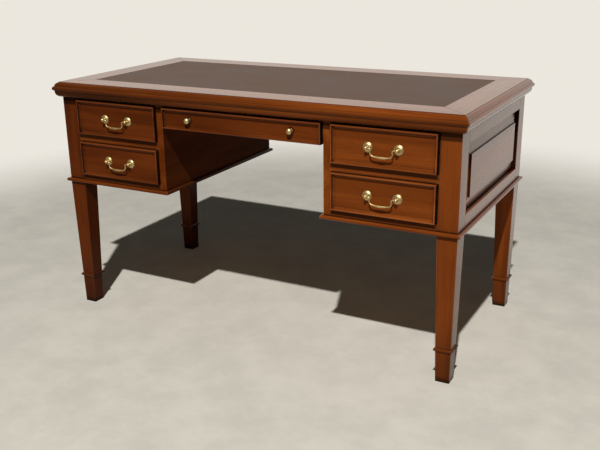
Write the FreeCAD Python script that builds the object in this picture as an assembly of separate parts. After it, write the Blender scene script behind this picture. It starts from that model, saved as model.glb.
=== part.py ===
import FreeCAD, Part
import math
import os

V = FreeCAD.Vector

# Writing desk with two shallow pedestals on square tapered legs. All sizes are in millimetres.
# X runs along the desk, the drawers face -Y, Z is up, and the origin is on the floor below the middle.

# Overall size
desk_width = 1406.0
desk_depth = 700.0
desk_height = 780.0

# Writing top: a mitred frame with a moulded edge round a core that carries the leather
top_thickness = 30.0
top_border = 83.0
leather_thickness = 2.0
leather_sink = 0.4
edge_quirk = 1.5
thumb_reach = 12.0
thumb_drop = 12.5
edge_fillet = 1.0
nose_round = 4.5
nose_lip = 2.0
top_overhang = 23.0

# Quarter round moulding under the top
ovolo_height = 19.5
ovolo_reach = 17.0
ovolo_fascia = 1.0
ovolo_fillet = 2.5

# Corner posts, which run down as tapered legs with a small collar
post_size = 60.0
foot_size = 42.0
foot_setback = 7.0
post_arris = 1.5
collar_level = 96.0
collar_height = 10.0

# Carcase boards and rails
board_thickness = 22.0
kneehole_width = 558.0
top_rail_height = 24.0
divider_height = 24.0
upper_frame_rail = 58.0
lower_frame_rail = 50.5
apron_height = 89.0
pedestal_floor = 12.0
tenon_thickness = 10.0
tenon_length = 12.0
tenon_shoulder = 10.0
tenon_clearance = 0.1

# Half round bead along the foot of each pedestal
bead_height = 12.0
bead_reach = 10.0

# Raised panels of the ends and backs, let into grooves
field_depth = 2.0
field_step = 5.0
bevel_width = 38.0
bevel_drop = 7.0
tongue_thickness = 6.0
groove_depth = 8.0
groove_clearance = 1.0

# Drawer fronts with a moulded rim round a sunk panel
drawer_front_height = 111.0
centre_front_height = 63.0
front_gap = 1.5
side_gap = 3.0
centre_gap = 5.0
front_proud = 10.0
front_thickness = 24.0
rim_recess = 8.5
rim_flat = 4.5
rim_round = 1.5
rim_step = 3.5
rim_cove = 7.0
rim_fillet = 1.0

# Drawer boxes, dovetailed at their corners, and what they run on
drawer_rear_space = 98.0
drawer_side_drop = 22.0
centre_rear_space = 188.0
centre_side_drop = 8.5
centre_nut_room = 4.2
centre_bottom_rise = 3.0
side_thickness = 12.0
tail_lap = 9.0
tail_pitch = 30.0
tail_slope = 0.17
pin_width = 6.0
bottom_thickness = 6.0
bottom_rise = 8.0
bottom_groove = 5.0
bottom_clearance = 0.5
back_drop = 5.0
slide_gap = 0.3
runner_width = 20.0
runner_height = 18.0
runner_clearance = 0.5
guide_height = 22.0
guide_thickness = 25.0
centre_runner_width = 16.0
centre_runner_height = 12.0
centre_runner_setback = 3.0
stop_width = 40.0
stop_depth = 20.0
stop_height = 5.0
stop_inset = 30.0

# Brass pulls
pull_spacing = 91.0
rosette_radius = 14.5
rosette_edge = 0.8
rosette_flange = 1.4
rosette_quirk = 0.7
rosette_dome = 5.6
post_neck_radius = 3.4
post_head_radius = 5.2
pivot_reach = 13.5
neck_radius = 2.1
pivot_clearance = 0.05
pin_straight = 9.0
swan_radius = 4.5
swan_kick = 20.0
swan_straight = 0.5
corner_radius = 11.0
bar_tilt = 11.0
bar_radius = 3.3
knob_spacing = 354.0
knob_radius = 9.3
knob_reach = 10.5
knob_neck_radius = 4.5
knob_flange_radius = 6.5
knob_flange = 1.2
stud_radius = 2.4
stud_clearance = 0.3
stud_tail = 2.0
nut_width = 8.0
nut_height = 4.0
nut_clearance = 0.05

# Places worked out from the sizes above
top_under = desk_height - top_thickness
top_nose = thumb_reach + edge_fillet + nose_round
flat_x = desk_width / 2 - top_nose
flat_y = desk_depth / 2 - top_nose
body_x = desk_width / 2 - top_overhang
body_y = desk_depth / 2 - top_overhang
post_x = body_x - post_size
post_y = body_y - post_size
knee_x = kneehole_width / 2
bay_x = knee_x + board_thickness
bay_middle = (bay_x + post_x) / 2
bay_width = post_x - bay_x
opening_height = drawer_front_height + 2 * front_gap
upper_floor = top_under - top_rail_height - opening_height
lower_floor = upper_floor - divider_height - opening_height
pedestal_base = lower_floor - runner_height - runner_clearance - pedestal_floor
panel_bottom = pedestal_base + lower_frame_rail
panel_top = top_under - upper_frame_rail
panel_height = panel_top - panel_bottom
front_face = -body_y - front_proud
front_back = front_face + front_thickness
panel_plane = front_face + rim_recess
pivot_y = panel_plane - pivot_reach
centre_front_top = top_under - top_rail_height - front_gap
centre_front_z = centre_front_top - centre_front_height / 2
centre_bottom_top = centre_front_z - nut_width / 2 - centre_nut_room
centre_floor = centre_bottom_top - bottom_thickness - centre_bottom_rise - slide_gap
back_inside = body_y - board_thickness

# Height of an arc over its chord, as a share of the chord
HALF_ROUND = 0.5
QUARTER_ROUND = (math.sqrt(2) - 1) / 2
EASED = QUARTER_ROUND / 2
THUMB_ROUND = 0.15
DOME_ROUND = 0.12
NECK_HOLLOW = -0.1
COVE_HOLLOW = -0.12

parts = {}


def box(x0, x1, y0, y1, z0, z1):
    return Part.makeBox(x1 - x0, y1 - y0, z1 - z0, V(x0, y0, z0))


def mirrored(solid):
    return solid.mirror(V(0, 0, 0), V(1, 0, 0))


def moved(solid, x=0.0, y=0.0, z=0.0, turn=0.0):
    copy = solid.copy()
    copy.rotate(V(0, 0, 0), V(0, 0, 1), turn)
    copy.translate(V(x, y, z))
    return copy


def one_solid(shape):
    return shape.removeSplitter().Solids[0]


def add(name, *solids):
    parts.setdefault(name, []).extend(solids)


def add_pair(stem, *solids):
    add(stem + "_right", *solids)
    add(stem + "_left", *[mirrored(solid) for solid in solids])


def add_both_sides(name, *solids):
    add(name, *solids)
    add(name, *[mirrored(solid) for solid in solids])


def outline(points, place):
    """Closed face through (u, v) points. A third value bulges the edge before the point to its left."""
    edges = []
    for start, end in zip(points, points[1:] + points[:1]):
        first = place(start[0], start[1])
        last = place(end[0], end[1])
        if len(end) == 3:
            run_u = end[0] - start[0]
            run_v = end[1] - start[1]
            middle_u = (start[0] + end[0]) / 2 - run_v * end[2]
            middle_v = (start[1] + end[1]) / 2 + run_u * end[2]
            edges.append(Part.Arc(first, place(middle_u, middle_v), last).toShape())
        else:
            edges.append(Part.makeLine(first, last))
    return Part.Face(Part.Wire(edges))


def mitred_sides(half_x, half_y, points):
    """Front, right, back and left lengths of a moulding, mitred round a rectangle of the given half sizes.

    The profile is in (reach out from the rectangle, height)."""
    profile = outline(points, lambda u, v: V(0, -u, v))
    bounds = profile.BoundBox
    bounds.enlarge(1.0)
    runs = ((0, half_x, half_y), (90, half_y, half_x), (180, half_x, half_y), (270, half_y, half_x))
    sides = []
    for turn, along, out in runs:
        outer = along - bounds.YMin
        inner = along - bounds.YMax
        bar = profile.extrude(V(2 * outer, 0, 0))
        bar.translate(V(-outer, -out, 0))
        corners = [
            V(-outer, bounds.YMin - out, bounds.ZMin),
            V(outer, bounds.YMin - out, bounds.ZMin),
            V(inner, bounds.YMax - out, bounds.ZMin),
            V(-inner, bounds.YMax - out, bounds.ZMin),
        ]
        wedge = Part.Face(Part.makePolygon(corners + corners[:1])).extrude(V(0, 0, bounds.ZLength))
        sides.append(moved(bar.common(wedge).Solids[0], turn=turn))
    return sides


def turned(points):
    """Solid turned about the Y axis from (radius, distance out towards -Y) points."""
    return outline(points, lambda u, v: V(u, -v, 0)).revolve(V(0, 0, 0), V(0, 1, 0), 360)


def rounded_rectangle(x0, x1, y0, y1, z):
    """Wire of a rectangle whose corners are eased by the post's arris."""
    arcs = []
    for corner_x, corner_y, start in ((x1, y1, 0), (x0, y1, 90), (x0, y0, 180), (x1, y0, 270)):
        inward_x = math.copysign(post_arris, (x0 + x1) / 2 - corner_x)
        inward_y = math.copysign(post_arris, (y0 + y1) / 2 - corner_y)
        centre = V(corner_x + inward_x, corner_y + inward_y, z)
        arcs.append(Part.makeCircle(post_arris, centre, V(0, 0, 1), start, start + 90))
    edges = []
    for arc, following in zip(arcs, arcs[1:] + arcs[:1]):
        edges.append(arc)
        edges.append(Part.makeLine(arc.Vertexes[-1].Point, following.Vertexes[0].Point))
    return Part.Wire(edges)


# Writing top

def top_frame():
    shoulder = desk_height - edge_quirk - thumb_drop
    nose_top = shoulder - edge_fillet
    nose_base = top_under + nose_lip
    nose_bulge = nose_round / (nose_top - nose_base)
    profile = [
        (-top_border, top_under),
        (-top_border, desk_height),
        (0, desk_height),
        (0, desk_height - edge_quirk),
        (thumb_reach, shoulder, THUMB_ROUND),
        (thumb_reach, nose_top),
        (thumb_reach + edge_fillet, nose_top),
        (thumb_reach + edge_fillet, nose_base, nose_bulge),
        (thumb_reach, top_under),
    ]
    front, right, back, left = mitred_sides(flat_x, flat_y, profile)
    add("top_frame_front", front)
    add("top_frame_right", right)
    add("top_frame_back", back)
    add("top_frame_left", left)


def top_infill():
    inner_x = flat_x - top_border
    inner_y = flat_y - top_border
    leather_top = desk_height - leather_sink
    core_top = leather_top - leather_thickness
    add("top_core", box(-inner_x, inner_x, -inner_y, inner_y, top_under, core_top))
    add("leather_writing_surface", box(-inner_x, inner_x, -inner_y, inner_y, core_top, leather_top))


def top_edge_moulding():
    profile = [
        (0, top_under),
        (ovolo_reach, top_under),
        (ovolo_reach, top_under - ovolo_fascia),
        (ovolo_fillet, top_under - ovolo_height, QUARTER_ROUND),
        (0, top_under - ovolo_height),
    ]
    add("top_edge_moulding", *mitred_sides(body_x, body_y, profile))


# Framed panels, made facing -Y with their outer face at y = 0 and the middle of the opening at x = 0

def tongue_line():
    return field_depth + field_step + bevel_drop


def raised_panel(width):
    half = width / 2
    tongue = groove_depth - groove_clearance
    field_half = half - bevel_width
    field_low = panel_bottom + bevel_width
    field_high = panel_top - bevel_width
    step_foot = field_depth + field_step
    field = box(-field_half, field_half, field_depth, step_foot, field_low, field_high)
    rims = []
    for inset, depth in ((bevel_width, step_foot), (0, tongue_line())):
        frame = Part.makePlane(
            width - 2 * inset, panel_height - 2 * inset,
            V(inset - half, depth, panel_top - inset), V(0, 1, 0), V(1, 0, 0),
        )
        rims.append(frame.OuterWire)
    bevel = Part.makeLoft(rims, True, True)
    edge = box(
        -half - tongue, half + tongue,
        tongue_line(), tongue_line() + tongue_thickness,
        panel_bottom - tongue, panel_top + tongue,
    )
    return one_solid(field.fuse([bevel, edge]))


def frame_tenons(width, clearance, length):
    """Stub tenons at both ends of both rails, or with clearance the mortises that take them."""
    half = width / 2
    y0 = (board_thickness - tenon_thickness) / 2 - clearance
    y1 = y0 + tenon_thickness + 2 * clearance
    tenons = []
    for low, high in ((pedestal_base, panel_bottom), (panel_top, top_under)):
        z0 = low + tenon_shoulder - clearance
        z1 = high - tenon_shoulder + clearance
        tenons.append(box(-half - length, -half, y0, y1, z0, z1))
        tenons.append(box(half, half + length, y0, y1, z0, z1))
    return tenons


def frame_rails(width):
    half = width / 2
    left_low, right_low, left_high, right_high = frame_tenons(width, 0, tenon_length)
    groove = box(
        -half, half,
        tongue_line(), tongue_line() + tongue_thickness,
        panel_bottom - groove_depth, panel_top + groove_depth,
    )
    lower = box(-half, half, 0, board_thickness, pedestal_base, panel_bottom)
    upper = box(-half, half, 0, board_thickness, panel_top, top_under)
    return [
        one_solid(lower.cut(groove).fuse([left_low, right_low])),
        one_solid(upper.cut(groove).fuse([left_high, right_high])),
    ]


def stile_cuts(width):
    """Mortises and panel grooves that the stiles at both sides of the opening take."""
    half = width / 2
    cuts = frame_tenons(width, tenon_clearance, tenon_length + tenon_clearance)
    cuts.append(box(
        -half - groove_depth, half + groove_depth,
        tongue_line(), tongue_line() + tongue_thickness,
        panel_bottom - groove_depth, panel_top + groove_depth,
    ))
    return cuts


def at_end(solid):
    return moved(solid, x=body_x, turn=90)


def at_back(solid):
    return moved(solid, x=bay_middle, y=body_y, turn=180)


# Carcase

def leg(face):
    """Right-hand corner post and leg. face is -1 at the front and 1 at the back."""
    post_low, post_high = sorted((face * post_y, face * body_y))
    post_wire = rounded_rectangle(post_x, body_x, post_low, post_high, pedestal_base)
    foot_x = body_x - foot_setback
    foot_y = body_y - foot_setback
    foot_low, foot_high = sorted((face * (foot_y - foot_size), face * foot_y))
    foot_wire = rounded_rectangle(foot_x - foot_size, foot_x, foot_low, foot_high, 0)
    taper = Part.makeLoft([foot_wire, post_wire], True, True)
    post = Part.Face(post_wire).extrude(V(0, 0, top_under - pedestal_base))
    return one_solid(post.fuse(taper))


def leg_collar(face):
    """Half round collar round a right-hand leg, seated on the leg where the collar's top edge meets it."""
    top = collar_level + collar_height
    share = top / pedestal_base
    out_setback = foot_setback * (1 - share)
    size = foot_size + (post_size - foot_size) * share
    profile = [(0, top), (0, collar_level, HALF_ROUND)]
    sides = mitred_sides(size / 2, size / 2, profile)
    ring = one_solid(sides[0].fuse(sides[1:]))
    middle = out_setback + size / 2
    return moved(ring, x=body_x - middle, y=face * (body_y - middle))


def carcase():
    end_opening = 2 * post_y
    end_cuts = [at_end(cut) for cut in stile_cuts(end_opening)]
    back_cuts = [at_back(cut) for cut in stile_cuts(bay_width)]
    add_pair("leg_front", leg(-1).cut(end_cuts).Solids[0])
    add_pair("leg_back", leg(1).cut(end_cuts + back_cuts).Solids[0])
    add_both_sides("leg_collars", leg_collar(-1), leg_collar(1))

    add_pair("end_rails", *[at_end(rail) for rail in frame_rails(end_opening)])
    add_pair("end_panel", at_end(raised_panel(end_opening)))
    add_both_sides("back_rails", *[at_back(rail) for rail in frame_rails(bay_width)])
    add_pair("back_panel", at_back(raised_panel(bay_width)))

    rail_low = top_under - top_rail_height
    front_rail = box(-post_x, post_x, -body_y, -post_y, rail_low, top_under)
    add("front_top_rail", front_rail)
    inner_side = box(knee_x, bay_x, -body_y, body_y, pedestal_base, top_under)
    add_pair("inner_side", inner_side.cut([front_rail] + back_cuts).Solids[0])
    apron_low = top_under - apron_height
    add("kneehole_back_apron", box(-knee_x, knee_x, back_inside, body_y, apron_low, top_under))

    add_both_sides(
        "drawer_rails",
        box(bay_x, post_x, -body_y, -post_y, upper_floor - divider_height, upper_floor),
        box(bay_x, post_x, -body_y, -post_y, pedestal_base, lower_floor),
    )
    end_inside = body_x - board_thickness
    base_top = pedestal_base + pedestal_floor
    floor_board = box(bay_x, end_inside, -post_y, back_inside, pedestal_base, base_top)
    post_notch = box(post_x, end_inside, post_y, back_inside, pedestal_base, base_top)
    add_pair("pedestal_bottom", floor_board.cut(post_notch).Solids[0])


def base_beads():
    flat = bead_reach - bead_height / 2
    profile = [
        (0, pedestal_base + bead_height),
        (flat, pedestal_base + bead_height),
        (flat, pedestal_base, HALF_ROUND),
        (0, pedestal_base),
    ]
    lengths = mitred_sides((body_x - knee_x) / 2, body_y, profile)
    add_pair("base_bead", *[moved(length, x=(body_x + knee_x) / 2) for length in lengths])


# Drawers

def drawer_front(width, height):
    """Front with its rim plane at y = 0, its back towards +Y, and its middle at the origin."""
    rim_inner = -rim_flat - rim_cove
    rim = [
        (rim_inner, -rim_recess),
        (rim_inner, -rim_recess + rim_fillet),
        (-rim_flat, -rim_step, COVE_HOLLOW),
        (-rim_flat, 0),
        (-rim_round, 0),
        (0, -rim_round, QUARTER_ROUND),
        (0, -rim_recess),
    ]
    slab = box(-width / 2, width / 2, -height / 2, height / 2, -front_thickness, -rim_recess)
    front = one_solid(slab.fuse(mitred_sides(width / 2, height / 2, rim)))
    front.rotate(V(0, 0, 0), V(1, 0, 0), 90)
    return front


def stud_holes(xs, z):
    radius = stud_radius + stud_clearance
    return [Part.makeCylinder(radius, front_thickness, V(x, panel_plane, z), V(0, 1, 0)) for x in xs]


def pins(x0, shoulder, tip, low, high):
    """Spaces between the dovetails at one end of a drawer side, from their shoulder to their tip."""
    board = box(x0, x0 + side_thickness, min(shoulder, tip), max(shoulder, tip), low, high)
    count = max(1, round((high - low) / tail_pitch))
    tip_half = pin_width / 2
    shoulder_half = tip_half + abs(tip - shoulder) * tail_slope
    spaces = []
    for step in range(count + 1):
        z = low + (high - low) * step / count
        corners = [
            V(x0, shoulder, z - shoulder_half),
            V(x0, shoulder, z + shoulder_half),
            V(x0, tip, z + tip_half),
            V(x0, tip, z - tip_half),
        ]
        face = Part.Face(Part.makePolygon(corners + corners[:1]))
        spaces.append(face.extrude(V(side_thickness, 0, 0)).common(board))
    return spaces


def drawer(middle_x, front, width, front_z, floor_z, side_top, rear, rise, stud_xs):
    """Front, sides, back and bottom of one closed drawer, dovetailed, with the bottom let into grooves."""
    bottom_z = floor_z + rise
    bottom_top = bottom_z + bottom_thickness
    back_top = side_top - back_drop
    half = width / 2
    inner = half - side_thickness
    tip = front_back - tail_lap
    back_face = rear - side_thickness
    grooves = box(
        middle_x - inner - bottom_groove, middle_x + inner + bottom_groove,
        front_back - bottom_groove, rear,
        bottom_z, bottom_top,
    )
    sides = []
    for x0 in (middle_x - half, middle_x + inner):
        side = box(x0, x0 + side_thickness, tip, rear, floor_z, side_top)
        front_pins = pins(x0, front_back, tip, floor_z, side_top)
        back_pins = pins(x0, back_face, rear, bottom_top, back_top)
        sides.append(side.cut([grooves] + front_pins + back_pins).Solids[0])
    back = box(middle_x - half, middle_x + half, back_face, rear, bottom_top, back_top).cut(sides)
    reach = inner + bottom_groove - bottom_clearance
    front_edge = front_back - bottom_groove + bottom_clearance
    bottom = box(middle_x - reach, middle_x + reach, front_edge, rear, bottom_z, bottom_top)
    front = moved(front, middle_x, front_face, front_z)
    front = front.cut(sides + [grooves] + stud_holes(stud_xs, front_z))
    return {"front": [one_solid(front)], "sides": sides, "back": [one_solid(back)], "bottom": [bottom]}


def runners(floor):
    """Inner runner on the side board, and outer runner with its guide between the posts."""
    guide_x = post_x + guide_thickness
    inner = box(bay_x, bay_x + runner_width, -post_y, post_y, floor - runner_height, floor)
    ledge = box(post_x - runner_width, guide_x, -post_y, post_y, floor - runner_height, floor)
    guide = box(post_x, guide_x, -post_y, post_y, floor, floor + guide_height)
    return [inner, one_solid(ledge.fuse(guide))]


def stops(floor):
    """Blocks on the rail behind a drawer front, which set how far it goes in."""
    rear = front_back + stop_depth
    blocks = []
    for x0 in (bay_x + stop_inset, post_x - stop_inset - stop_width):
        blocks.append(box(x0, x0 + stop_width, front_back, rear, floor, floor + stop_height))
    return blocks


def pedestal_drawers():
    width = bay_width - 2 * side_gap
    rear = back_inside - drawer_rear_space
    for level, floor in (("upper", upper_floor), ("lower", lower_floor)):
        front_z = floor + front_gap + drawer_front_height / 2
        pull_xs = (bay_middle - pull_spacing / 2, bay_middle + pull_spacing / 2)
        side_top = floor + front_gap + drawer_front_height - drawer_side_drop
        pieces = drawer(
            bay_middle, drawer_front(width, drawer_front_height), width, front_z,
            floor + slide_gap, side_top, rear, bottom_rise, pull_xs,
        )
        for piece, solids in pieces.items():
            add(level + "_right_drawer_" + piece, *solids)
            add(level + "_left_drawer_" + piece, *[mirrored(solid) for solid in solids])
        posts = []
        for x in pull_xs:
            posts.append(moved(handle_post(math.copysign(1, bay_middle - x)), x, panel_plane, front_z))
            posts.append(moved(nut(), x, front_back, front_z))
        bail = moved(handle_bail(), bay_middle, pivot_y, front_z)
        add(level + "_right_handle_posts", *posts)
        add(level + "_left_handle_posts", *[mirrored(post) for post in posts])
        add(level + "_right_handle_bail", bail)
        add(level + "_left_handle_bail", mirrored(bail))
        add_both_sides("drawer_runners", *runners(floor))
        add_both_sides("drawer_stops", *stops(floor))


def centre_drawer():
    width = kneehole_width - 2 * centre_gap
    rear = back_inside - centre_rear_space
    knob_xs = (-knob_spacing / 2, knob_spacing / 2)
    pieces = drawer(
        0, drawer_front(width, centre_front_height), width, centre_front_z,
        centre_floor + slide_gap, centre_front_top - centre_side_drop, rear, centre_bottom_rise, knob_xs,
    )
    for piece, solids in pieces.items():
        add("centre_drawer_" + piece, *solids)
    for x in knob_xs:
        add("centre_drawer_knobs", moved(knob(), x, panel_plane, centre_front_z))
        add("centre_drawer_knobs", moved(nut(), x, front_back, centre_front_z))
    ledge_x = knee_x - centre_runner_width
    start = front_back + centre_runner_setback
    runner = box(ledge_x, knee_x, start, back_inside, centre_floor - centre_runner_height, centre_floor)
    add_both_sides("drawer_runners", runner)
    stop = box(ledge_x, knee_x, rear, rear + stop_depth, centre_floor, centre_floor + stop_height)
    add_both_sides("drawer_stops", stop)


# Brass pulls, made with the panel plane at y = 0 and their middle at the origin

def stud_length():
    return front_thickness - rim_recess + nut_height + stud_tail


def stud():
    return Part.makeCylinder(stud_radius, stud_length(), V(0, 0, 0), V(0, 1, 0))


def nut():
    """Hexagon nut against the back of a drawer front."""
    corner = nut_width / math.sqrt(3)
    corners = []
    for step in range(7):
        angle = math.radians(60 * step)
        corners.append(V(corner * math.cos(angle), 0, corner * math.sin(angle)))
    hexagon = Part.Face(Part.makePolygon(corners)).extrude(V(0, nut_height, 0))
    hole = Part.makeCylinder(stud_radius + nut_clearance, nut_height, V(0, 0, 0), V(0, 1, 0))
    return hexagon.cut(hole).Solids[0]


def handle_post(inward):
    """Domed rosette with a round-headed post, bored from its inner side for the bail. inward is 1 or -1."""
    dome_edge = rosette_radius - rosette_flange
    dome_foot = post_neck_radius + rosette_flange
    head_foot = pivot_reach - math.sqrt(post_head_radius ** 2 - post_neck_radius ** 2)
    crown = pivot_reach + post_head_radius
    head_angle = math.asin(post_neck_radius / post_head_radius)
    head_bulge = math.tan((math.pi - head_angle) / 4) / 2
    profile = [
        (0, 0),
        (0, crown),
        (post_neck_radius, head_foot, head_bulge),
        (dome_foot, rosette_dome, NECK_HOLLOW),
        (dome_edge, rosette_flange + rosette_quirk, DOME_ROUND),
        (dome_edge, rosette_flange),
        (rosette_radius, rosette_edge, EASED),
        (rosette_radius, 0),
    ]
    bore_radius = neck_radius + pivot_clearance
    bore_length = post_head_radius + pin_straight
    start = V(-inward * pivot_clearance, -pivot_reach, 0)
    bore = Part.makeCylinder(bore_radius, bore_length, start, V(inward, 0, 0))
    return one_solid(turned(profile).fuse(stud())).cut(bore).Solids[0]


def turn_path(point, heading, radius, turn):
    """Arc in the XZ plane that leaves point along heading and turns by an angle, both in degrees."""
    side = math.copysign(90, turn)
    centre_x = point.x + radius * math.cos(math.radians(heading + side))
    centre_z = point.z + radius * math.sin(math.radians(heading + side))
    ends = []
    for share in (0.5, 1.0):
        angle = math.radians(heading - side + turn * share)
        ends.append(V(centre_x + radius * math.cos(angle), 0, centre_z + radius * math.sin(angle)))
    return Part.Arc(point, ends[0], ends[1]).toShape(), ends[1]


def handle_bail():
    """Swan-neck bail hanging from its pins: thin necks that curl in, then run into a thicker bowed bar."""
    inward = 180.0
    pin_end = V(pull_spacing / 2, 0, 0)
    neck_start = V(pull_spacing / 2 - pin_straight, 0, 0)
    curl, curl_end = turn_path(neck_start, inward, swan_radius, 90 + swan_kick)
    kick = math.radians(inward + 90 + swan_kick)
    kick_end = curl_end + V(math.cos(kick), 0, math.sin(kick)) * swan_straight
    corner_turn = -(90 + swan_kick - bar_tilt)
    corner, bar_end = turn_path(kick_end, inward + 90 + swan_kick, corner_radius, corner_turn)
    path = Part.Wire([Part.makeLine(pin_end, neck_start), curl, Part.makeLine(curl_end, kick_end), corner])
    section = Part.Wire(Part.makeCircle(neck_radius, pin_end, V(-1, 0, 0)))
    neck = path.makePipeShell([section], True, False)

    bow = bar_end.x / math.sin(math.radians(bar_tilt))
    bow_centre = bar_end.z + bow * math.cos(math.radians(bar_tilt))
    sections = []
    stations = 8
    for station in range(stations + 1):
        share = 1 - 2 * station / stations
        angle = math.radians(bar_tilt * share)
        middle = V(bow * math.sin(angle), 0, bow_centre - bow * math.cos(angle))
        radius = neck_radius + (bar_radius - neck_radius) * math.cos(share * math.pi / 2) ** 2
        along = V(-math.cos(angle), 0, -math.sin(angle))
        sections.append(Part.Wire(Part.makeCircle(radius, middle, along)))
    bar = Part.makeLoft(sections, True, False)
    return one_solid(bar.fuse([neck, mirrored(neck)]))


def knob():
    ball_foot = knob_reach - math.sqrt(knob_radius ** 2 - knob_neck_radius ** 2)
    ball_angle = math.asin(knob_neck_radius / knob_radius)
    ball_bulge = math.tan((math.pi - ball_angle) / 4) / 2
    profile = [
        (0, 0),
        (0, knob_reach + knob_radius),
        (knob_neck_radius, ball_foot, ball_bulge),
        (knob_neck_radius, knob_flange),
        (knob_flange_radius, knob_flange / 2, EASED),
        (knob_flange_radius, 0),
    ]
    return one_solid(turned(profile).fuse(stud()))


top_frame()
top_infill()
top_edge_moulding()
carcase()
base_beads()
pedestal_drawers()
centre_drawer()

os.makedirs("parts", exist_ok=True)
for name, solids in parts.items():
    shape = solids[0] if len(solids) == 1 else Part.makeCompound(solids)
    shape.exportStep("parts/" + name + ".step")
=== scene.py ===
import math

import bpy
from mathutils import Matrix, Vector


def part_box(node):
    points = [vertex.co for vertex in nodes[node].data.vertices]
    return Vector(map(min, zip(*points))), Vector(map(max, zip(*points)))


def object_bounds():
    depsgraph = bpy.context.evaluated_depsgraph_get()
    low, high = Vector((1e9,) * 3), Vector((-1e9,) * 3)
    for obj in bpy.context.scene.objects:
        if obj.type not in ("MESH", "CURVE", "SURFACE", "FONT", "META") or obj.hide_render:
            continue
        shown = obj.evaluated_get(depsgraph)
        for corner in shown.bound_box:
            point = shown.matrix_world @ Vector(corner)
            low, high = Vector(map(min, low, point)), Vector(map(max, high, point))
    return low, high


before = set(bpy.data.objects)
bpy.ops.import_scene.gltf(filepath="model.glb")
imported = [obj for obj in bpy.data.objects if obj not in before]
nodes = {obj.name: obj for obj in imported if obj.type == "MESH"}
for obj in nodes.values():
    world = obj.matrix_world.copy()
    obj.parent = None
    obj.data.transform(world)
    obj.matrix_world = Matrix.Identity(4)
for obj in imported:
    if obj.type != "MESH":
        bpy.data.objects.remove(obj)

cad_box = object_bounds()

# Camera
# Seen from standing height in front of the right-hand pedestal and a little to its side, looking down
# on the desk with a normal lens.
camera_place = Vector((1.3033, -2.3780, 1.1966))
camera_turn = math.radians(28.2475)
camera_dip = math.radians(18.6126)
camera_lean = math.radians(-0.7863)
camera_lens = 50.04
camera_sensor = 36.0

camera = bpy.data.objects.new("camera", bpy.data.cameras.new("camera"))
camera.data.sensor_width = camera_sensor
camera.data.lens = camera_lens
bpy.context.scene.collection.objects.link(camera)
aim = Matrix.Rotation(camera_turn, 4, "Z") @ Matrix.Rotation(math.pi / 2 - camera_dip, 4, "X")
camera.matrix_world = Matrix.Translation(camera_place) @ aim @ Matrix.Rotation(camera_lean, 4, "Z")
bpy.context.scene.camera = camera
bpy.context.scene.view_settings.view_transform = "Standard"


# Floor, backdrop and light
# A pale ground of smooth concrete that fades into a pale backdrop. A small lamp hangs high up in front
# of the desk, and even light comes from all round.
def add(tree, kind, inputs=None, **settings):
    """Adds a shader node. An input takes a value or the output of another node."""
    node = tree.nodes.new("ShaderNode" + kind)
    for name, value in settings.items():
        setattr(node, name, value)
    for name, value in (inputs or {}).items():
        socket = node.inputs[name]
        if isinstance(value, bpy.types.NodeSocket):
            tree.links.new(value, socket)
        else:
            socket.default_value = value
    return node


def math_node(tree, operation, first, second=0.0):
    return add(tree, "Math", {0: first, 1: second}, operation=operation).outputs[0]


def times(tree, first, second):
    return math_node(tree, "MULTIPLY", first, second)


def larger(tree, first, second):
    return math_node(tree, "MAXIMUM", first, second)


def remap(tree, value, low, high, to_low=0.0, to_high=1.0):
    """Takes low..high to to_low..to_high, without going past either end."""
    inputs = {"Value": value, "From Min": low, "From Max": high, "To Min": to_low, "To Max": to_high}
    return add(tree, "MapRange", inputs, interpolation_type="SMOOTHSTEP").outputs[0]


def mix_colour(tree, share, first, second):
    return add(tree, "Mix", {0: share, 6: first, 7: second}, data_type="RGBA").outputs[2]


def new_material(name):
    """An empty node material, and the output that its shader goes to."""
    material = bpy.data.materials.new(name)
    material.use_nodes = True
    tree = material.node_tree
    tree.nodes.clear()
    return material, tree, add(tree, "OutputMaterial")


def surface(tree, shader, output):
    """Sends a finished shader to the output of its material."""
    tree.links.new(shader.outputs[0], output.inputs["Surface"])


backdrop_colour = (0.84, 0.80, 0.73, 1.0)
floor_colour = (0.66, 0.645, 0.590, 1.0)
floor_stain = (0.58, 0.565, 0.520, 1.0)
floor_radius = 12.0
floor_sides = 96
floor_fade = (1.5, 2.9)
mirrored_fade = (0.8, 1.7)
fill_strength = 0.066
front_dimness = 0.22
front_run = (-0.3, 0.5)
key_place = (2.303, -5.922, 8.544)
key_radius = 0.11
key_power = 4580.0
key_colour = (1.0, 0.965, 0.91)

ground = bpy.data.meshes.new("floor")
rim = []
for step in range(floor_sides):
    angle = 2 * math.pi * step / floor_sides
    rim.append((floor_radius * math.cos(angle), floor_radius * math.sin(angle), 0.0))
ground.from_pydata(rim, [], [range(floor_sides)])
floor = bpy.data.objects.new("floor", ground)
bpy.context.scene.collection.objects.link(floor)

concrete, tree, output = new_material("concrete_floor")
place = add(tree, "TexCoord").outputs["Object"]
cloud = add(tree, "TexNoise", {"Vector": place, "Scale": 5.0, "Detail": 13.0, "Roughness": 0.72}).outputs[0]
colour = mix_colour(tree, remap(tree, cloud, 0.34, 0.66), floor_stain, floor_colour)
matt = add(tree, "BsdfDiffuse", {"Color": colour})
distance = add(tree, "VectorMath", {0: place}, operation="LENGTH").outputs["Value"]
rays = add(tree, "LightPath").outputs
seen = times(tree, remap(tree, distance, *floor_fade), rays["Is Camera Ray"])
mirrored = times(tree, remap(tree, distance, *mirrored_fade), rays["Is Glossy Ray"])
below = add(tree, "NewGeometry").outputs["Backfacing"]
fade = larger(tree, larger(tree, seen, mirrored), below)
clear = add(tree, "BsdfTransparent")
ground_shader = add(tree, "MixShader", {0: fade, 1: matt.outputs[0], 2: clear.outputs[0]})
surface(tree, ground_shader, output)
floor.data.materials.append(concrete)

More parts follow.
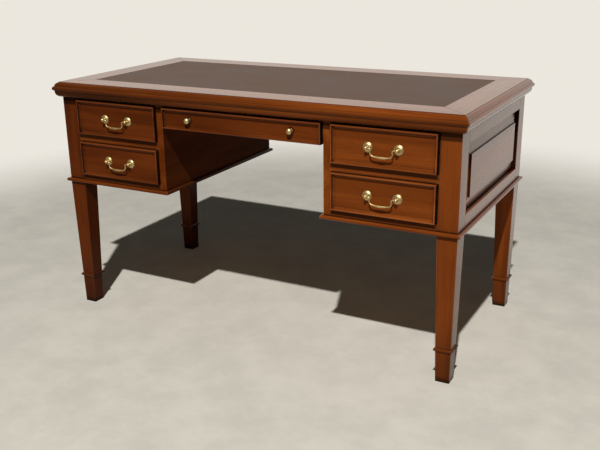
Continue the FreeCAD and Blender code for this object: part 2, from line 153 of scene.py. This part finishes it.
world = bpy.data.worlds.new("studio")
bpy.context.scene.world = world
world.use_nodes = True
tree = world.node_tree
tree.nodes.clear()
rays = add(tree, "LightPath").outputs
way = add(tree, "SeparateXYZ", {0: add(tree, "TexCoord").outputs["Generated"]}).outputs["Y"]
mirrored = remap(tree, way, *front_run, front_dimness, 1.0)
fill = add(tree, "Background", {"Color": backdrop_colour, "Strength": fill_strength})
gloss = add(tree, "Background", {"Color": backdrop_colour, "Strength": mirrored})
pale = add(tree, "Background", {"Color": backdrop_colour, "Strength": 1.0})
seen = larger(tree, rays["Is Camera Ray"], rays["Is Transmission Ray"])
lit = add(tree, "MixShader", {0: rays["Is Glossy Ray"], 1: fill.outputs[0], 2: gloss.outputs[0]})
both = add(tree, "MixShader", {0: seen, 1: lit.outputs[0], 2: pale.outputs[0]})
add(tree, "OutputWorld", {"Surface": both.outputs[0]})

key = bpy.data.objects.new("key_lamp", bpy.data.lights.new("key_lamp", "POINT"))
key.data.shadow_soft_size = key_radius
key.data.energy = key_power
key.data.color = key_colour
key.location = key_place
bpy.context.scene.collection.objects.link(key)


# Legs and collars
# Each corner post is one square length of mahogany that tapers from the pedestal down to the floor. It is
# stained and lacquered to a semi-gloss, lighter on its corners as wear and painted highlight, darker near
# the floor, with painted shadow under the top and painted shade on the left legs.
# A half round collar is glued on near the foot.
def new_group(name, inputs, outputs):
    """An empty node group with named sockets, each given as (name, kind, value)."""
    group = bpy.data.node_groups.new(name, "ShaderNodeTree")
    for label, kind, value in inputs:
        socket = group.interface.new_socket(label, in_out="INPUT", socket_type="NodeSocket" + kind)
        if value is not None:
            socket.default_value = value
    for label, kind in outputs:
        group.interface.new_socket(label, in_out="OUTPUT", socket_type="NodeSocket" + kind)
    return group, group.nodes.new("NodeGroupInput").outputs, group.nodes.new("NodeGroupOutput").inputs


def use(tree, group, inputs):
    """Places a node group in a material and returns its outputs."""
    return add(tree, "Group", inputs, node_tree=group).outputs


def stretched_noise(tree, vector, along, across, detail, roughness=0.55):
    """Noise drawn out along the grain: so many waves a metre along it and across it."""
    stretch = {0: vector, 1: (along, across, across)}
    scaled = add(tree, "VectorMath", stretch, operation="MULTIPLY").outputs[0]
    inputs = {"Vector": scaled, "Scale": 1.0, "Detail": detail, "Roughness": roughness}
    return add(tree, "TexNoise", inputs).outputs[0]


wood_grain, given, result = new_group(
    "wood grain",
    [("Along", "Vector", None), ("Seed", "Float", 0.0)],
    [("Figure", "Float"), ("Streak", "Float"), ("Pores", "Float")],
)
shift = add(wood_grain, "CombineXYZ", {0: given["Seed"], 1: given["Seed"], 2: given["Seed"]}).outputs[0]
start = add(wood_grain, "VectorMath", {0: given["Along"], 1: shift}, operation="ADD").outputs[0]
bend = stretched_noise(wood_grain, start, 1.6, 5.0, 2.0)
bend = times(wood_grain, math_node(wood_grain, "SUBTRACT", bend, 0.5), 0.05)
bend = add(wood_grain, "CombineXYZ", {1: bend, 2: bend}).outputs[0]
grained = add(wood_grain, "VectorMath", {0: start, 1: bend}, operation="ADD").outputs[0]
wood_grain.links.new(stretched_noise(wood_grain, grained, 1.3, 17.0, 3.0), result["Figure"])
wood_grain.links.new(stretched_noise(wood_grain, grained, 5.0, 190.0, 4.0, 0.6), result["Streak"])
fine = stretched_noise(wood_grain, grained, 55.0, 1100.0, 1.0)
wood_grain.links.new(remap(wood_grain, fine, 0.60, 0.72), result["Pores"])

soft_edges, given, result = new_group(
    "soft edges",
    [("Radius", "Float", 0.001), ("Wear And Highlight", "Float", 0.004)],
    [("Edge", "Float"), ("Normal", "Vector")],
)
within = {"Distance": given["Wear And Highlight"]}
buried = add(soft_edges, "AmbientOcclusion", within, samples=8, inside=True, only_local=True).outputs["AO"]
soft_edges.links.new(remap(soft_edges, buried, 0.90, 0.66), result["Edge"])
rounded = add(soft_edges, "Bevel", {"Radius": given["Radius"]}, samples=6).outputs[0]
soft_edges.links.new(rounded, result["Normal"])

# Painted shade: ambient occlusion within the reach darkens recesses, gaps and faces close under other
# parts.
recess_shading, given, result = new_group(
    "recess_shading",
    [("Reach", "Float", 0.010)],
    [("Hollow", "Float")],
)
open_sky = add(recess_shading, "AmbientOcclusion", {"Distance": given["Reach"]}, samples=8).outputs["AO"]
recess_shading.links.new(remap(recess_shading, open_sky, 0.92, 0.54), result["Hollow"])

# The first colour is end grain that has drunk the stain, and also painted shade in recesses and under
# parts.
mahogany_stain_and_shade = (0.011, 0.0048, 0.0026)
mahogany_dark = (0.070, 0.0146, 0.0022)
mahogany_deep = (0.140, 0.0314, 0.0040)
mahogany_light = (0.235, 0.0560, 0.0080)
mahogany_wear_and_highlight = (0.340, 0.1100, 0.0300)
stain_redness = 1.2
lacquer_gloss = 0.05
corner_round = 0.0012
wear_and_highlight_width = 0.0035
narrow_reach = 0.004
usual_reach = 0.010
deep_reach = 0.045
grain_turn = {"x": (0.0, 0.0, 0.0), "y": (0.0, 0.0, math.pi / 2), "z": (0.0, math.pi / 2, 0.0)}


def position(tree):
    """Where a point lies on the desk, as X, Y and Z."""
    return add(tree, "SeparateXYZ", {0: add(tree, "TexCoord").outputs["Object"]}).outputs


def outward(tree):
    """Which way the surface looks, as X, Y and Z."""
    return add(tree, "SeparateXYZ", {0: add(tree, "TexCoord").outputs["Normal"]}).outputs


def along_grain(tree, axis):
    """Coordinates whose first axis runs along the grain of a piece that lies along the given axis."""
    place = add(tree, "TexCoord").outputs["Object"]
    return add(tree, "Mapping", {"Vector": place, "Rotation": grain_turn[axis]}).outputs[0]


def facing_along(tree, axis):
    """How squarely a face looks along the given axis, either way."""
    return math_node(tree, "ABSOLUTE", outward(tree)[axis.upper()])


def facing_right(tree):
    """How squarely a face looks to the right."""
    return larger(tree, outward(tree)["X"], 0.0)


def finish_wood(tree, output, along, seed, tone_and_shade=1.0, ends=0.0, painted_darkening=0.0, reach=usual_reach, lacquer=1.0):
    """Stained and lacquered mahogany: ribbon figure, dark streaks, open pores, and corners lightened as
    wear and as painted highlight.

    tone_and_shade is how light the stain is, and where it is lowered for one side it is also painted shade;
    a darker stain is a redder one. ends is where end grain drinks up the stain, painted_darkening is where
    the caller darkens the wood, mostly as painted shade, and reach is how far the painted shade of recesses
    spreads."""
    redder = tone_and_shade ** stain_redness
    stains = (mahogany_stain_and_shade, mahogany_dark, mahogany_deep, mahogany_light, mahogany_wear_and_highlight)
    stain_and_shade_colour, dark, deep, light, corner_light_colour = [
        (tone_and_shade * red, redder * green, redder * blue, 1.0) for red, green, blue in stains
    ]
    grain = use(tree, wood_grain, {"Along": along, "Seed": seed})
    edges = use(tree, soft_edges, {"Radius": corner_round, "Wear And Highlight": wear_and_highlight_width})
    colour = mix_colour(tree, remap(tree, grain["Figure"], 0.33, 0.67), deep, light)
    colour = mix_colour(tree, remap(tree, grain["Streak"], 0.50, 0.74, 0.0, 0.45), colour, dark)
    colour = mix_colour(tree, times(tree, grain["Pores"], 0.35), colour, dark)
    # Corners are lightened, partly as wear and partly as painted highlight on the rounded arrises.
    corner_lightening = times(tree, edges["Edge"], remap(tree, grain["Figure"], 0.35, 0.6, 0.2, 0.5))
    colour = mix_colour(tree, corner_lightening, colour, corner_light_colour)
    # Painted shade in recesses, the stain of end grain and the caller's painted darkening darken the colour
    # and thin the lacquer.
    recess_shade = use(tree, recess_shading, {"Reach": reach})["Hollow"]
    stain_and_shade = larger(tree, larger(tree, ends, painted_darkening), times(tree, recess_shade, 0.96))
    colour = mix_colour(tree, stain_and_shade, colour, stain_and_shade_colour)
    sheen = remap(tree, grain["Streak"], 0.3, 0.75, 0.25, 0.32)
    height = math_node(tree, "SUBTRACT", times(tree, grain["Streak"], 0.25), grain["Pores"])
    relief = {"Height": height, "Distance": 0.00004, "Strength": 0.8, "Normal": edges["Normal"]}
    bump = add(tree, "Bump", relief)
    slant = add(tree, "LayerWeight", {"Blend": 0.5}).outputs["Facing"]
    gleam = times(tree, edges["Edge"], 0.5)
    coat = larger(tree, remap(tree, slant, 0.45, 0.75, 0.02, 0.82), gleam)
    unstained_unshaded = math_node(tree, "SUBTRACT", 1.0, stain_and_shade)
    wood = add(tree, "BsdfPrincipled", {
        "Base Color": colour, "Roughness": sheen, "Normal": bump.outputs[0],
        "Specular IOR Level": lacquer_gloss * lacquer,
        "Coat Weight": times(tree, coat, times(tree, unstained_unshaded, lacquer)), "Coat Roughness": 0.2,
    })
    surface(tree, wood, output)


def end_grain(tree, axis):
    """Where a piece that lies along the given axis shows its end grain."""
    return remap(tree, facing_along(tree, axis), 0.30, 0.95, 0.0, 0.9)


def mahogany(name, axis, seed, tone_and_shade=1.0, reach=usual_reach):
    """Finished wood for a piece that lies along the given axis."""
    material, tree, output = new_material(name)
    finish_wood(tree, output, along_grain(tree, axis), seed, tone_and_shade, end_grain(tree, axis), reach=reach)
    return material


def dress(node, material):
    """Gives a whole node one material."""
    mesh = nodes[node].data
    mesh.materials.clear()
    mesh.materials.append(material)


# How light the legs' stain is, lower on the left as painted shade where the light falls off.
leg_tone_and_shade = {"left": 0.48, "right": 0.86}
leg_shade = {"left": 0.5, "right": 0.0}
low_darkening_height = 0.22
low_darkness = 0.42
overhang_shadow_run = (0.7045, 0.7090)
overhang_shadow_darkness = 0.78
collar_tone = 0.62


def overhang_shadow(tree):
    """Painted shadow of the top's overhang on a front close under the top."""
    high = remap(tree, position(tree)["Z"], *overhang_shadow_run, 0.0, overhang_shadow_darkness)
    return times(tree, high, facing_along(tree, "y"))


for index, corner in enumerate(("front_left", "front_right", "back_left", "back_right")):
    side = corner.split("_")[1]
    material, tree, output = new_material("mahogany_leg_" + corner)
    # Darker near the floor; painted shade on the right faces of the left legs, from the kneehole; painted
    # shadow under the top.
    low_darkening = remap(tree, position(tree)["Z"], low_darkening_height, 0.0, 0.0, low_darkness)
    shaded = times(tree, facing_right(tree), leg_shade[side])
    painted_darkening = larger(tree, larger(tree, low_darkening, shaded), overhang_shadow(tree))
    along = along_grain(tree, "z")
    finish_wood(tree, output, along, 1.7 + index, leg_tone_and_shade[side], end_grain(tree, "z"), painted_darkening, deep_reach)
    dress("leg_" + corner, material)
dress("leg_collars", mahogany("mahogany_collar", "x", 6.1, collar_tone))


# Ends and back of the pedestals
# Rails tenoned into the posts hold a raised panel of solid mahogany, with its grain the long way.
# The panel is loose in its grooves, so that it can swell and shrink.
# How light the stain is; the left end is lower as painted shade, where the light falls off.
end_tone_and_shade = {"left": 0.62, "right": 1.0}
back_rail_tone = 0.8
rail_reach = 0.018

for index, side in enumerate(end_tone_and_shade):
    tone_and_shade = end_tone_and_shade[side]
    dress("end_rails_" + side, mahogany("mahogany_end_rails_" + side, "y", 11.3 + index, tone_and_shade, rail_reach))
    dress("end_panel_" + side, mahogany("mahogany_end_panel_" + side, "y", 14.9 + index, tone_and_shade))
    dress("back_panel_" + side, mahogany("mahogany_back_panel_" + side, "x", 17.2 + index, tone_and_shade))
dress("back_rails", mahogany("mahogany_back_rails", "x", 19.8, back_rail_tone))


# Boards and rails that join the pedestals
# The inner sides, the rails round the drawers and the board behind the kneehole are solid mahogany, glued
# up. The inner sides have little lacquer and painted shade on their faces into the kneehole, darker on the
# left, and the rails have painted shadow where a drawer front shades them.
inner_tone_and_shade = {"left": 0.65, "right": 1.0}
kneehole_shade_darkness = 0.60
inner_lacquer = 0.1
rail_tops = (0.612, 0.474)
rail_shade_run = (0.017, 0.012)
rail_fade = 0.004
rail_shadow_darkness = 0.62

for index, side in enumerate(inner_tone_and_shade):
    material, tree, output = new_material("mahogany_inner_side_" + side)
    # Painted shade on the faces into the kneehole, and painted shadow under the top.
    painted_darkening = larger(tree, remap(tree, facing_along(tree, "x"), 0.5, 0.9, 0.0, kneehole_shade_darkness), overhang_shadow(tree))
    along = along_grain(tree, "y")
    finish_wood(tree, output, along, 22.4 + index, inner_tone_and_shade[side], painted_darkening=painted_darkening, lacquer=inner_lacquer)
    dress("inner_side_" + side, material)
dress("front_top_rail", mahogany("mahogany_top_rail", "x", 25.1))

material, tree, output = new_material("mahogany_drawer_rails")
height = position(tree)["Z"]
painted_darkening = 0.0
# Painted shadow on each rail, under the proud drawer front above it.
for rail_top in rail_tops:
    shade_run = [rail_top - depth for depth in rail_shade_run]
    start = remap(tree, height, *shade_run, 0.0, rail_shadow_darkness)
    end = remap(tree, height, rail_top, rail_top + rail_fade, 1.0, 0.0)
    painted_darkening = larger(tree, painted_darkening, times(tree, start, end))
finish_wood(tree, output, along_grain(tree, "x"), 26.6, painted_darkening=painted_darkening)
dress("drawer_rails", material)
dress("kneehole_back_apron", mahogany("mahogany_apron", "x", 28.3))


# Mouldings
# A quarter round under the top and a half round bead at the foot of each pedestal, run in lengths of
# mahogany, mitred and glued on. The quarter round has painted shade along the front, most of all at the
# left, and the left bead is darker, with painted shade on its face into the kneehole.
moulding_tone_and_shade = {"top_edge_moulding": 1.0, "base_bead_left": 0.60, "base_bead_right": 0.90}
moulding_front_shadow = 0.34
moulding_left_falloff = 0.76
bead_shade = 0.65
left_falloff_run = (0.45, -0.50)


def past_sides(tree, low, high):
    """How far a point lies past the nearer end and past the nearer long side of a box."""
    middle = (low + high) / 2
    half = (high - low) / 2
    place = add(tree, "TexCoord").outputs["Object"]
    local = add(tree, "VectorMath", {0: place, 1: middle}, operation="SUBTRACT").outputs[0]
    inset = add(tree, "VectorMath", {0: local}, operation="ABSOLUTE").outputs[0]
    inset = add(tree, "SeparateXYZ", {0: inset}).outputs
    return math_node(tree, "SUBTRACT", inset["X"], half.x), math_node(tree, "SUBTRACT", inset["Y"], half.y)


def mitred_grain(tree, node):
    """Coordinates along the grain of four lengths mitred round the box of a node."""
    past_x, past_y = past_sides(tree, *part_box(node))
    end = math_node(tree, "GREATER_THAN", past_x, past_y)
    inputs = {0: end, 4: along_grain(tree, "x"), 5: along_grain(tree, "y")}
    return add(tree, "Mix", inputs, data_type="VECTOR").outputs[1]


def left_falloff_shade(tree, most):
    """Painted shade on the upright front edge of the top, growing towards the left end."""
    left = remap(tree, position(tree)["X"], *left_falloff_run, 0.0, most)
    return times(tree, left, facing_along(tree, "y"))


for index, moulding in enumerate(moulding_tone_and_shade):
    material, tree, output = new_material("mahogany_" + moulding)
    painted_darkening = 0.0
    reach = usual_reach
    if moulding == "top_edge_moulding":
        reach = narrow_reach
        # Painted shadow under the nose along the front, and painted shade growing towards the left.
        shaded = times(tree, facing_along(tree, "y"), moulding_front_shadow)
        painted_darkening = larger(tree, left_falloff_shade(tree, moulding_left_falloff), shaded)
    elif moulding == "base_bead_left":
        # Painted shade on the left bead's face into the kneehole.
        painted_darkening = times(tree, facing_right(tree), bead_shade)
    along = mitred_grain(tree, moulding)
    finish_wood(tree, output, along, 31.5 + index, moulding_tone_and_shade[moulding], painted_darkening=painted_darkening, reach=reach)
    dress(moulding, material)


# Writing top
# Four moulded lengths of mahogany, mitred at the corners, round a core board that carries the leather.
# The nose of the edge has painted shade that makes it darker than the thumb moulding over it, and the
# front edge has painted shade that grows towards the left end.
top_grain = {"front": "x", "back": "x", "left": "y", "right": "y"}
top_level = cad_box[1][2]
top_tone = 0.92
top_lacquer = 0.95
top_left_falloff = 0.44
nose_run = (top_level - 0.0125, top_level - 0.0165)
nose_shade_darkness = 0.42
joint_width = 0.0026
joint_darkness = 0.9


def mitre_joint(tree):
    """Thin dark line where two lengths of the top's frame meet."""
    past_x, past_y = past_sides(tree, Vector(cad_box[0]), Vector(cad_box[1]))
    apart = math_node(tree, "ABSOLUTE", math_node(tree, "SUBTRACT", past_x, past_y))
    return remap(tree, apart, joint_width, 0.0, 0.0, joint_darkness)


for index, side in enumerate(top_grain):
    material, tree, output = new_material("mahogany_top_" + side)
    height = position(tree)["Z"]
    # Painted shade on the nose, and painted shade growing towards the left on the front edge.
    nose = remap(tree, height, *nose_run, 0.0, nose_shade_darkness)
    painted_darkening = larger(tree, left_falloff_shade(tree, top_left_falloff), times(tree, nose, facing_along(tree, "y")))
    finish_wood(
        tree, output, along_grain(tree, top_grain[side]), 36.2 + 1.3 * index, top_tone,
        mitre_joint(tree), painted_darkening, narrow_reach, top_lacquer,
    )
    dress("top_frame_" + side, material)


# Leather
# One smooth skin of dark brown hide, dyed, polished and glued down level with the wood round it.
# Its fine pebbled grain shows only close up.
hide_dark = (0.0660, 0.0320, 0.0190, 1.0)
hide_light = (0.0960, 0.0470, 0.0280, 1.0)

leather, tree, output = new_material("brown_leather")
place = add(tree, "TexCoord").outputs["Object"]
cloud = add(tree, "TexNoise", {"Vector": place, "Scale": 6.0, "Detail": 6.0, "Roughness": 0.6}).outputs[0]
pebble = add(tree, "TexVoronoi", {"Vector": place, "Scale": 900.0}, feature="DISTANCE_TO_EDGE").outputs[0]
colour = mix_colour(tree, remap(tree, cloud, 0.35, 0.65), hide_dark, hide_light)
colour = mix_colour(tree, remap(tree, pebble, 0.14, 0.0, 0.0, 0.5), colour, hide_dark)
crease = remap(tree, pebble, 0.0, 0.16)
bump = add(tree, "Bump", {"Height": crease, "Distance": 0.00006, "Strength": 0.7})
polish = remap(tree, cloud, 0.3, 0.7, 0.46, 0.54)
hide = add(tree, "BsdfPrincipled", {
    "Base Color": colour, "Roughness": polish, "Normal": bump.outputs[0], "Specular IOR Level": 0.15,
})
surface(tree, hide, output)
dress("leather_writing_surface", leather)


# Hidden boards
# The core of the top, the pedestals' bottom boards and the drawers' runners and stops are plain pale
# hardwood, planed, glued in place and left without a finish.
core_deep = (0.30, 0.165, 0.075, 1.0)
core_light = (0.46, 0.29, 0.150, 1.0)
planed_round = 0.0008
pore_shade = (0.55, 0.50, 0.45, 1.0)
gap_shade = (0.02, 0.009, 0.004, 1.0)


def pale_wood(name, axis, seed, deep, light):
    """Unfinished wood with soft grain and short pores."""
    material, tree, output = new_material(name)
    grain = use(tree, wood_grain, {"Along": along_grain(tree, axis), "Seed": seed})
    edges = use(tree, soft_edges, {"Radius": planed_round})
    colour = mix_colour(tree, remap(tree, grain["Figure"], 0.3, 0.7), deep, light)
    colour = mix_colour(tree, remap(tree, grain["Streak"], 0.5, 0.75, 0.0, 0.4), colour, deep)
    pore_colour = [share * part for share, part in zip(pore_shade, deep)]
    colour = mix_colour(tree, times(tree, grain["Pores"], 0.5), colour, pore_colour)
    # Painted shade darkens the pale wood in recesses and gaps.
    recess_shade = use(tree, recess_shading, {"Reach": usual_reach})["Hollow"]
    colour = mix_colour(tree, times(tree, recess_shade, 0.9), colour, gap_shade)
    bump = add(tree, "Bump", {"Height": grain["Streak"], "Distance": 0.00006, "Normal": edges["Normal"]})
    roughness = remap(tree, grain["Streak"], 0.3, 0.7, 0.5, 0.68)
    wood = add(tree, "BsdfPrincipled", {
        "Base Color": colour, "Roughness": roughness, "Normal": bump.outputs[0],
    })
    surface(tree, wood, output)
    return material


dress("top_core", pale_wood("core_board", "x", 44.0, core_deep, core_light))
dress("drawer_runners", pale_wood("runner_wood", "y", 45.5, core_deep, core_light))
dress("drawer_stops", pale_wood("stop_wood", "x", 46.5, core_deep, core_light))
for index, side in enumerate(("left", "right")):
    board = pale_wood("bottom_board_" + side, "y", 47.0 + index, core_deep, core_light)
    dress("pedestal_bottom_" + side, board)


# Drawers
# A moulded mahogany front on a box of pale hardwood, dovetailed at the corners, with a thin bottom.
# The fronts are stained and lacquered like the carcase, and the boxes are left plain.
# How light each front's stain is; the left and centre fronts are lower as painted shade, where the light
# falls off.
front_tone_and_shade = {
    "upper_left": 0.55, "lower_left": 0.63, "upper_right": 0.97, "lower_right": 1.08, "centre": 0.60,
}
lining_deep = (0.36, 0.215, 0.105, 1.0)
lining_light = (0.54, 0.36, 0.195, 1.0)
base_deep = (0.42, 0.275, 0.145, 1.0)
base_light = (0.60, 0.43, 0.255, 1.0)

for index, drawer in enumerate(front_tone_and_shade):
    stem = drawer + "_drawer_"
    tone_and_shade = front_tone_and_shade[drawer]
    dress(stem + "front", mahogany("mahogany_front_" + drawer, "x", 51.0 + 1.37 * index, tone_and_shade))
    dress(stem + "sides", pale_wood("lining_sides_" + drawer, "y", 60.0 + index, lining_deep, lining_light))
    dress(stem + "back", pale_wood("lining_back_" + drawer, "x", 66.0 + index, lining_deep, lining_light))
    dress(stem + "bottom", pale_wood("drawer_base_" + drawer, "x", 72.0 + index, base_deep, base_light))


# Pulls
# Cast and polished brass that has aged to a soft gold: domed rosettes with a round-headed post, swan-neck
# bails that hang between them, and ball knobs on the centre drawer. Nuts behind the fronts hold them.
brass_bright = (0.800, 0.612, 0.285, 1.0)
brass_aged = (0.190, 0.120, 0.040, 1.0)
brass_round = 0.0006
tarnish_reach = 0.012

brass, tree, output = new_material("aged_brass")
place = add(tree, "TexCoord").outputs["Object"]
blotches = {"Vector": place, "Scale": 120.0, "Detail": 6.0, "Roughness": 0.65}
tarnish = add(tree, "TexNoise", blotches).outputs[0]
edges = use(tree, soft_edges, {"Radius": brass_round})
open_sky = add(tree, "AmbientOcclusion", {"Distance": tarnish_reach}, samples=8).outputs["AO"]
aged = larger(tree, remap(tree, tarnish, 0.50, 0.72, 0.0, 0.6), remap(tree, open_sky, 0.85, 0.35))
colour = mix_colour(tree, aged, brass_bright, brass_aged)
roughness = remap(tree, tarnish, 0.3, 0.7, 0.38, 0.50)
relief = {"Height": tarnish, "Distance": 0.00004, "Strength": 0.5, "Normal": edges["Normal"]}
bump = add(tree, "Bump", relief)
metal = add(tree, "BsdfPrincipled", {
    "Base Color": colour, "Metallic": 1.0, "Roughness": roughness, "Normal": bump.outputs[0],
})
surface(tree, metal, output)

for drawer in ("upper_left", "lower_left", "upper_right", "lower_right"):
    dress(drawer + "_handle_posts", brass)
    dress(drawer + "_handle_bail", brass)
dress("centre_drawer_knobs", brass)
